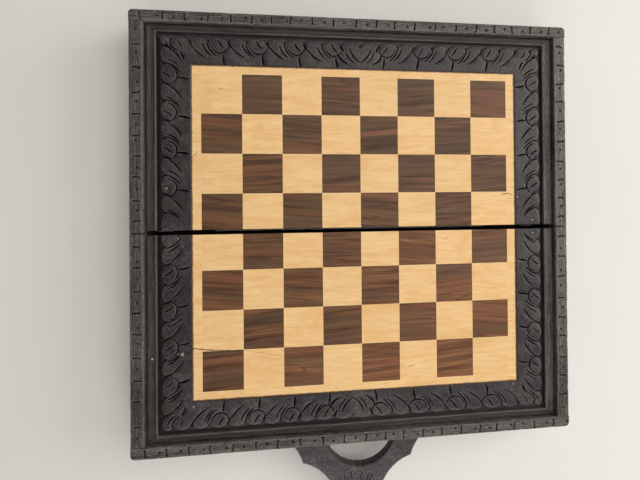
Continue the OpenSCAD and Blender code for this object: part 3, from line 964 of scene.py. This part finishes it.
def side_band(half, rng):
    """Cuts and notches of a side band, from the corner to the fold."""
    cuts, notches = [], [0.0]
    start, length = SIDE_START[half], CARVING_Y - FOLD_GAP
    while start < length - 5:
        left = length - start
        cuts += leaf_cuts(start, SIDE_PITCH, rng, whole=left > SIDE_PITCH)
        notches += [start, min(start + SMALL_LOBE * SIDE_PITCH, length - 1)]
        start += SIDE_PITCH
    return swapped(cuts), notches + [length + 6]


def quadrant_relief(p, q, half, facing, length):
    """Height of the carving above its groove, and its values, in one corner's frame.
    p runs from the outer side edge, q from the outer end edge, and length is p at the centre."""
    rng = np.random.default_rng(200 + 10 * HALVES[half] + facing)
    end_cuts, end_notches = end_band(length, rng)
    side_cuts, side_notches = side_band(half, rng)
    relief = Relief(p, q)
    corner_cuts = uneven(CORNER_CUTS, rng, lambda across, down: (across, down))
    for points, (width, depth, under, fall) in end_cuts + side_cuts + corner_cuts:
        relief.cut(points, width, depth, under, fall)
    end_edge, end_full = scallop(p, end_notches)
    side_edge, side_full = scallop(q, side_notches)
    for notch in end_notches[1:]:
        relief.dot(notch, NOTCH + rng.uniform(0.0, 0.8), 1.3, 2.0)
    for notch in side_notches[1:-1]:
        relief.dot(NOTCH + rng.uniform(0.0, 0.8), notch, 1.3, 2.0)
    from_end, from_side = q - end_edge, p - side_edge
    inside = np.minimum(from_end, from_side)
    on_end = from_end < from_side
    full = np.where(on_end, end_full, side_full)
    return relief, inside, full, on_end


def carving_heights(x, y, half):
    """Height, dark cuts and outlines (pooled stain and painted shade), lighter crests (wear and a painted
    highlight), seam and chips of the carved border, at points of one half.
    """
    shape = x.shape
    x, y = x.ravel(), y.ravel()
    z, stain_and_shade, wear_and_highlight, chip = (np.zeros(x.shape) for _ in range(4))
    top = CARVING_Z + 0.15
    floor = BASE_Z + 0.25
    for facing in (-1, 1):
        part = (x - CENTRE_X[half]) * facing >= 0
        p = CARVING_X - facing * x[part]
        q = CARVING_Y - y[part]
        middle = CARVING_X - facing * CENTRE_X[half]
        relief, inside, full, on_end = quadrant_relief(p, q, half, facing, middle)
        rise = smooth_step(inside / 1.0)
        depth_in = np.clip(inside, 0, None)
        dome = 0.8 * (full - 0.6) * fade(depth_in, 9) - 1.5 * fade(depth_in, 2.2)
        surface = top + dome - np.minimum(relief.fall, 1.8) - relief.slit
        z[part] = floor + (surface - floor) * rise
        # A black outline in the groove round the lobes: painted shade with the pooled stain.
        outline = bell(inside - 0.15, 0.75)
        groove = np.where(on_end, outline, np.where(inside < 0.3, 1.0, outline))
        stain_and_shade[part] = np.maximum(relief.stain_and_shade, groove)
        # The lobes' crests are painted lighter: worn stain and a painted highlight.
        wear_and_highlight[part] = np.maximum(relief.wear_and_highlight, 0.7 * bell(inside - 1.9, 1.0)) * rise
    board = np.maximum(np.abs(x) - BOARD_X, y - BOARD_Y)
    seed = 300 + HALVES[half]
    z = z - 0.55 * fade(board, 0.45) - 0.5 * fade(y - FOLD_GAP, 0.5)
    for size, height, more in ((7, 0.13, 0), (2.4, 0.07, 2), (1.0, 0.035, 4)):
        z = z + rough(x, y, size, seed + more) * height
    for place, size in CARVING_CHIPS[half]:
        away = np.hypot(x - place[0], y - place[1]) / size
        chip = np.maximum(chip, bell(away, 1) * (1 + 0.5 * rough(x, y, 0.9, seed + 6)))
    z = z - 0.5 * np.clip(chip, 0, 1)
    for nail_x, nail_y in nail_places(half):
        away = np.hypot(x - nail_x, y - nail_y)
        z = z - 0.75 * smooth_step((2.5 - away) / 1.1)
        # A dark ring in the hollow round each nail head, painted shade.
        stain_and_shade = np.maximum(stain_and_shade, smooth_step((2.2 - away) / 0.8))
    seam = bell(board, 1.4) * (0.7 + 0.3 * rough(x, y, 5, seed + 8))
    values = {"stain_and_shade": np.clip(stain_and_shade, 0, 1), "wear_and_highlight": np.clip(wear_and_highlight, 0, 1), "seam": np.clip(seam, 0, 1),
              "chip": chip}
    return np.clip(z, BASE_Z + 0.12, TOP_Z).reshape(shape), values


def nail_places(half):
    """Middles of the nails of one half, in its own frame."""
    return [(x, HALVES[half] * half_y(y)) for x, y, _ in map(middle_of, loose_parts(f"{half}_nails"))]


# Places where the carving lost a splinter, in each half's own frame, with their size.
CARVING_CHIPS = {
    "far": [((181.5, 34.5), 0.9)],
    "near": [((-188.0, 125.9), 1.9), ((-191.5, 126.4), 1.2), ((-177.0, 181.0), 1.0), ((173.5, 178.6), 0.9)],
}


def carvings(half, material):
    """The three carved strips of one half."""
    materials = dict.fromkeys(("end", *SIDES), material)
    strips(half, "carving", "leaves", (CARVING_X, CARVING_Y), (BOARD_X, BOARD_Y), (GRID, GRID * 0.9),
           lambda x, y, facing: carving_heights(facing * x, y, half), materials)


# ---- handle

HANDLE_SHIFT = -3.0
HANDLE_HALF = 88.0
HANDLE_SHOULDER = 64.0
SCOOPS = [(113.6, 47.6, 54.1), (75.9, 82.7, 52.2)]
HANDLE_TIP = (58.0, 22.0)
HAND_R = 40.0
HANDLE_EDGE = 1.3
HANDLE_GRID = 0.85


def handle_half_width(v):
    """Half the handle's width at a distance out from the wall."""
    beyond = HANDLE_TIP[1] ** 2 - (v - HANDLE_TIP[0]) ** 2
    half = np.sqrt(np.clip(beyond, 0, None)) if v > HANDLE_SHOULDER else HANDLE_HALF
    for centre, height, radius in SCOOPS:
        inside = radius ** 2 - (v - height) ** 2
        if inside > 0:
            half = min(half, centre - math.sqrt(inside))
    return max(half, 0.0)


def even_steps(path, step):
    """A path cut into equal steps."""
    path = np.array(path)
    run = np.concatenate([[0], np.cumsum(np.hypot(*np.diff(path, axis=0).T))])
    at = np.linspace(0, run[-1], int(run[-1] / step) + 1)
    return np.stack([np.interp(at, run, path[:, k]) for k in (0, 1)], 1)


def handle_outline():
    """The handle's closed outline as (x, distance out from the wall), starting at the hand hole."""
    reach = HANDLE_TIP[0] + HANDLE_TIP[1]
    v = reach - reach * np.linspace(1, 0, 400) ** 2
    right = [(HANDLE_SHIFT + handle_half_width(k), k) for k in v]
    left = [(2 * HANDLE_SHIFT - x, k) for x, k in right[::-1][1:]]
    turn = np.linspace(math.pi, 0, 150)
    hole = [(HAND_R * math.cos(a), HAND_R * math.sin(a)) for a in turn]
    foot = [(HAND_R, 0.0), right[0]]
    far_foot = [left[-1], (-HAND_R, 0.0)]
    parts = [even_steps(part, HANDLE_GRID)[:-1] for part in (foot, right + left, far_foot, hole)]
    return np.concatenate(parts)


def handle_triangles(outline):
    """Points and triangles that fill the outline, with the outline's own points first."""
    lo, hi = outline.min(0), outline.max(0)
    rng = np.random.default_rng(17)
    x, v = np.meshgrid(np.arange(lo[0], hi[0], HANDLE_GRID), np.arange(lo[1], hi[1], HANDLE_GRID))
    inner = np.stack([x.ravel(), v.ravel()], 1) + rng.uniform(-0.16, 0.16, (x.size, 2))
    away = outline_distance(inner, outline)
    inner = inner[away > 0.5 * HANDLE_GRID]
    points = np.concatenate([outline, inner])
    loop = list(range(len(outline)))
    made, _, faces, origin, _, _ = delaunay_2d_cdt([Vector(point) for point in points], [], [loop], 1, 1e-5)
    place = {source: k for k, sources in enumerate(origin) for source in sources}
    return np.array(made), [list(face) for face in faces], [place[k] for k in loop]


def outline_distance(points, outline):
    """How far each point lies from the nearest point of the outline."""
    return np.concatenate([
        np.hypot(*(points[k:k + 2000, None] - outline[None]).transpose(2, 0, 1)).min(1)
        for k in range(0, len(points), 2000)])


def handle_cuts(x, v):
    """Nested upright cuts at the tip, a small flower beneath them and stray knife marks."""
    relief = Relief(x, v)
    rng = np.random.default_rng(23)
    middle = HANDLE_SHIFT - 2
    for side in (-1, 1):
        for k in range(4):
            out = side * (5.5 + 3.6 * k)
            start = 45.0 + 1.2 * k + rng.normal(0, 0.3)
            path = [(middle + lean * out, start + rise) for lean, rise in ((1.12, 0), (1, 6), (0.75, 12))]
            relief.cut(path, rng.uniform(0.45, 0.65), 0.9, reach=1.2)
    for k in range(6):
        angle = k * math.pi / 3 + rng.normal(0, 0.08)
        way = np.array([math.cos(angle), math.sin(angle)])
        heart = np.array([middle + 1, 66.0])
        relief.cut([heart + 1.0 * way, heart + 4.2 * way], 0.7, 1.0, reach=1.0)
    relief.dot(middle + 1, 66.0, 1.1, 1.1)
    for _ in range(26):
        start = np.array([rng.uniform(-80, 75), rng.uniform(4, 70)])
        way = rng.normal(0, 1, 2) * (3, 5)
        relief.cut([start, start + way], rng.uniform(0.25, 0.45), rng.uniform(0.15, 0.35), reach=0.8)
    return relief


def handle(material):
    """The scalloped handle on the near wall, with a half-round hole for the hand."""
    lo, hi = span("handle")
    flat, faces, loop = handle_triangles(handle_outline())
    x, v = flat.T
    away = outline_distance(flat, flat[loop])
    relief = handle_cuts(x, v)
    at_wall = smooth_step(v / 1.5)
    grain = rough(x, v * 7, 9, 401) * 0.07 + rough(x, v, 6, 402) * 0.1
    top = hi[2] - 0.15 - edge_fall(away, HANDLE_EDGE) * at_wall
    top = top - relief.slit - np.minimum(relief.fall, 0.8) + grain
    under = lo[2] + edge_fall(away, 0.9) * at_wall
    count = len(flat)
    y = FOLD_Y - HALF_D - v
    points = np.concatenate([np.column_stack([x, y, np.minimum(top, hi[2])]), np.column_stack([x, y, under])])
    solid = [face[::-1] for face in faces]
    solid += [[corner + count for corner in face] for face in faces]
    solid += [[a, b, b + count, a + count] for a, b in zip(loop, np.roll(loop, -1))]
    form = bmesh.new()
    corners = [form.verts.new(point) for point in points]
    for face in solid:
        form.faces.new([corners[k] for k in face])
    bmesh.ops.recalc_face_normals(form, faces=form.faces)
    form.verts.index_update()
    solid = [[corner.index for corner in face.verts] for face in form.faces]
    form.free()
    piece = new_piece("handle_carved", np.clip(points, lo, hi), solid, material, "handle")
    rubbed = bell(away - 1.2, 0.9) * (0.5 + 0.5 * rough(x, v, 12, 403)) * at_wall
    set_point_values(piece, "stain_and_shade", np.clip(relief.stain_and_shade, 0, 0.9))
    set_point_values(piece, "wear_and_highlight", np.clip(np.maximum(rubbed, 0.6 * relief.wear_and_highlight), 0, 1))


# ---- small turned and cast parts

def nail_heads(node, material):
    """Domed nail heads with a punch mark, each on a short shank."""
    first = loose_parts(node)[0]
    top = first[:, 2].max() - 0.02
    radius = np.ptp(first[:, 0]) / 2
    head = [(0, 0.28), (0.22, 0.24), (0.4, 0.02), (0.55, 0), (0.8, 0.12), (0.95, 0.32), (1, 0.52),
            (0.92, 0.72), (0.66, 0.8), (0.62, 4.0), (0, 4.4)]
    profile = [(share * radius, top - drop) for share, drop in head]
    turned(node, "domed", profile, 28, material)


def checkers(tone, dark, light):
    """Turned checkers with rounded rims, a ring groove and a slight dish in both faces."""
    node, slot_name = f"{tone}_checkers", f"{tone}_checker_wood"
    first = loose_parts(node)[0]
    radius, _, half = np.ptp(first, axis=0) / 2
    middle = middle_of(first)[2]
    face = [(0, 0.75), (0.25, 0.72), (0.42, 0.55), (0.52, 0.3), (0.56, 0.05), (0.585, 0.45), (0.61, 0.75),
            (0.64, 0.75), (0.665, 0.45), (0.69, 0.02), (0.75, 0.0), (0.88, 0.0), (0.93, 0.12), (0.965, 0.45),
            (0.99, 0.95), (1.0, 1.6)]
    upper = [(share * radius, half - drop) for share, drop in face]
    waist = [(0.985 * radius, 0.35), (0.985 * radius, -0.35)]
    lower = [(r, -z) for r, z in upper[::-1]]
    profile = [(r, middle + z) for r, z in upper + waist + lower]
    turned(node, "turned", profile, 96, plain_wood(slot_name, dark, light, 0.35))


def die_axes(part, form):
    """Two crossing directions of a die's flat faces, from its two largest unlike faces."""
    middle = Vector(middle_of(part)) * MM
    size = np.ptp(part, axis=0).max() * MM
    near = [face for face in form.faces if (face.calc_center_median() - middle).length < size]
    near.sort(key=lambda face: -face.calc_area())
    first = near[0].normal
    second = next(face.normal for face in near if abs(face.normal.dot(first)) < 0.1)
    return np.array([first, second, first.cross(second)])


def dice(material):
    """Two dice with eased corners, their pips marked for the material to darken."""
    parts = loose_parts("dice")
    form = merged_form("dice")
    axes = [die_axes(part, form) for part in parts]
    form.free()
    piece = eased("dice", 0.35, material, segments=3)
    points = np.array([corner.co for corner in piece.data.vertices]) / MM
    pip = np.zeros(len(points))
    for part, turn in zip(parts, axes):
        middle = middle_of(part)
        away = np.linalg.norm(points - middle, axis=1)
        ball = np.linalg.norm(part - middle, axis=1).max()
        beside = np.abs((points - middle) @ turn.T).max(1)
        face = np.abs((part - middle) @ turn.T).max()
        pip[(beside < face - 0.16) & (away < ball - 0.25)] = 1
    set_point_values(piece, "pip", pip)


# ---- stage, light and camera

def stage():
    """A pale floor that the box lies on."""
    bpy.ops.mesh.primitive_plane_add(size=6.0, location=(0, 0, 0))
    floor = bpy.context.object
    floor.name = "studio_floor"
    floor.data.materials.append(studio_paper())


def area_light(name, place, aim, size, power, colour):
    """A rectangular lamp aimed at a point."""
    data = bpy.data.lights.new(name, "AREA")
    data.shape = "RECTANGLE"
    data.size, data.size_y = size
    data.energy = power
    data.color = colour
    lamp = bpy.data.objects.new(name, data)
    lamp.location = place
    lamp.rotation_euler = (Vector(aim) - Vector(place)).to_track_quat("-Z", "Y").to_euler()
    bpy.context.scene.collection.objects.link(lamp)


def lights():
    """A broad window-like light from the right, a soft one above, a fill in front and a grey surround."""
    area_light("window", (2.1, 0.45, 0.86), (0, 0.02, 0), (2.0, 1.4), 35, (1.0, 0.975, 0.94))
    area_light("ceiling", (0.7, 0.7, 2.0), (0, 0.1, 0), (2.0, 2.0), 22, (1.0, 0.955, 0.9))
    area_light("near_fill", (0.15, -1.7, 0.95), (0, -0.2, 0), (1.6, 1.0), 15.5, (1.0, 0.985, 0.96))
    world = bpy.data.worlds.new("surround")
    world.use_nodes = True
    sky = world.node_tree.nodes["Background"]
    sky.inputs["Color"].default_value = (1.0, 0.96, 0.91, 1)
    sky.inputs["Strength"].default_value = 0.27
    bpy.context.scene.world = world


def camera():
    """Looks down on the open box from a little left of its middle."""
    data = bpy.data.cameras.new("camera")
    data.sensor_width = 36
    data.lens = 23.63
    data.shift_x = -0.0455
    data.shift_y = -0.0705
    data.clip_start = 0.01
    view = bpy.data.objects.new("camera", data)
    view.location = (-0.0681, 0.0731, 0.5009)
    view.rotation_euler = [math.radians(a) for a in (0.43, -6.943, -0.493)]
    bpy.context.scene.collection.objects.link(view)
    bpy.context.scene.camera = view
    bpy.context.scene.view_settings.view_transform = "Standard"


# ---- the whole box

def paint(node, material):
    """Gives a CAD node that keeps its shape a finished material."""
    slots = frame["nodes"][node].data.materials
    slots.clear()
    slots.append(material)


def build():
    """Every piece of the box, half by half, and then what the two halves share."""
    # The fading differs by side as painted light: more on the right as painted sheen from the light there, and
    # least on the far moulding as painted shadow of the far wall.
    wall_wood = {name: stained_wood(f"{name}_wall_wood", along, weather_and_light)
                 for name, along, weather_and_light in (("end", "x", 0.9), ("left", "y", 0.6), ("right", "y", 1.0))}
    moulding_wood = {name: stained_wood(f"{name}_moulding_wood", along, weather_and_light)
                     for name, along, weather_and_light in (("far", "x", 0.04), ("near", "x", 0.28),
                                                  ("left", "y", 0.15), ("right", "y", 0.85))}
    carved = carved_wood("carved_wood", 1.13)
    # The fold walls: stained, and painted near black as the shade of the fold gap.
    fold_shade_wood = plain_wood("fold_shade_wood", (0.003, 0.0026, 0.0025), (0.008, 0.007, 0.0068), 0.85, 0.04)
    field = plain_wood("field_wood", (0.16, 0.055, 0.022), (0.34, 0.14, 0.06), 0.45)
    dark_point = plain_wood("dark_point_wood", (0.035, 0.013, 0.007), (0.11, 0.045, 0.022), 0.42)
    light_point = plain_wood("light_point_wood", (0.62, 0.38, 0.17), (0.82, 0.57, 0.3), 0.45)
    yellow_metal = old_brass("brass", 260, (2600, 240, 2600), BRASS_TONES, (0.3, 0.35), (0.24, 0.52))
    # Hinges in the fold gap: tarnished brass, darkened further as painted shade of the gap.
    shaded_fold_metal = old_brass("tarnished_shaded_brass", 300, (1400, 300, 1400), SHADED_TARNISH_TONES, (0.35, 0.3), (0.42, 0.7))
    nail_steel = steel("nail_steel")
    for half, sign in HALVES.items():
        end_wall(half, sign, wall_wood["end"])
        moulding_strips(half, sign, {**moulding_wood, "end": moulding_wood[half]})
        carvings(half, carved)
        for side, facing in SIDES.items():
            side_wall(half, sign, side, facing, wall_wood[side])
        paint(f"{half}_maple_board", maple(half, sign))
        paint(f"{half}_walnut_squares", walnut(half, sign))
        for part, width, material, slot_name in (
                ("fold_wall", 0.5, fold_shade_wood, "stained_wood"),
                ("base_board", 0.3, base_wood(half, sign), "plywood"),
                ("play_field", 0.2, field, "field_wood"),
                ("dark_points", 0.2, dark_point, "dark_point_wood"),
                ("light_points", 0.2, light_point, "light_point_wood")):
            eased(f"{half}_{part}", width, material)
        nail_heads(f"{half}_nails", nail_steel)
        for part in ("hinge_leaves", "hinge_screws"):
            eased(f"{half}_{part}", 0.12, shaded_fold_metal)
    eased("hinge_pins", 0.2, shaded_fold_metal)
    handle(carved_wood("handle_wood", 1.9))
    for node in ("handle_screws", "left_latch_hook", "right_latch_hook", "latch_pivot_screws", "latch_pins"):
        eased(node, 0.22, yellow_metal)
    checkers("light", (0.6, 0.38, 0.18), (0.8, 0.57, 0.32))
    checkers("dark", (0.05, 0.018, 0.009), (0.13, 0.055, 0.028))
    dice(bone_resin("dice_resin"))


camera()
stage()
lights()
build()
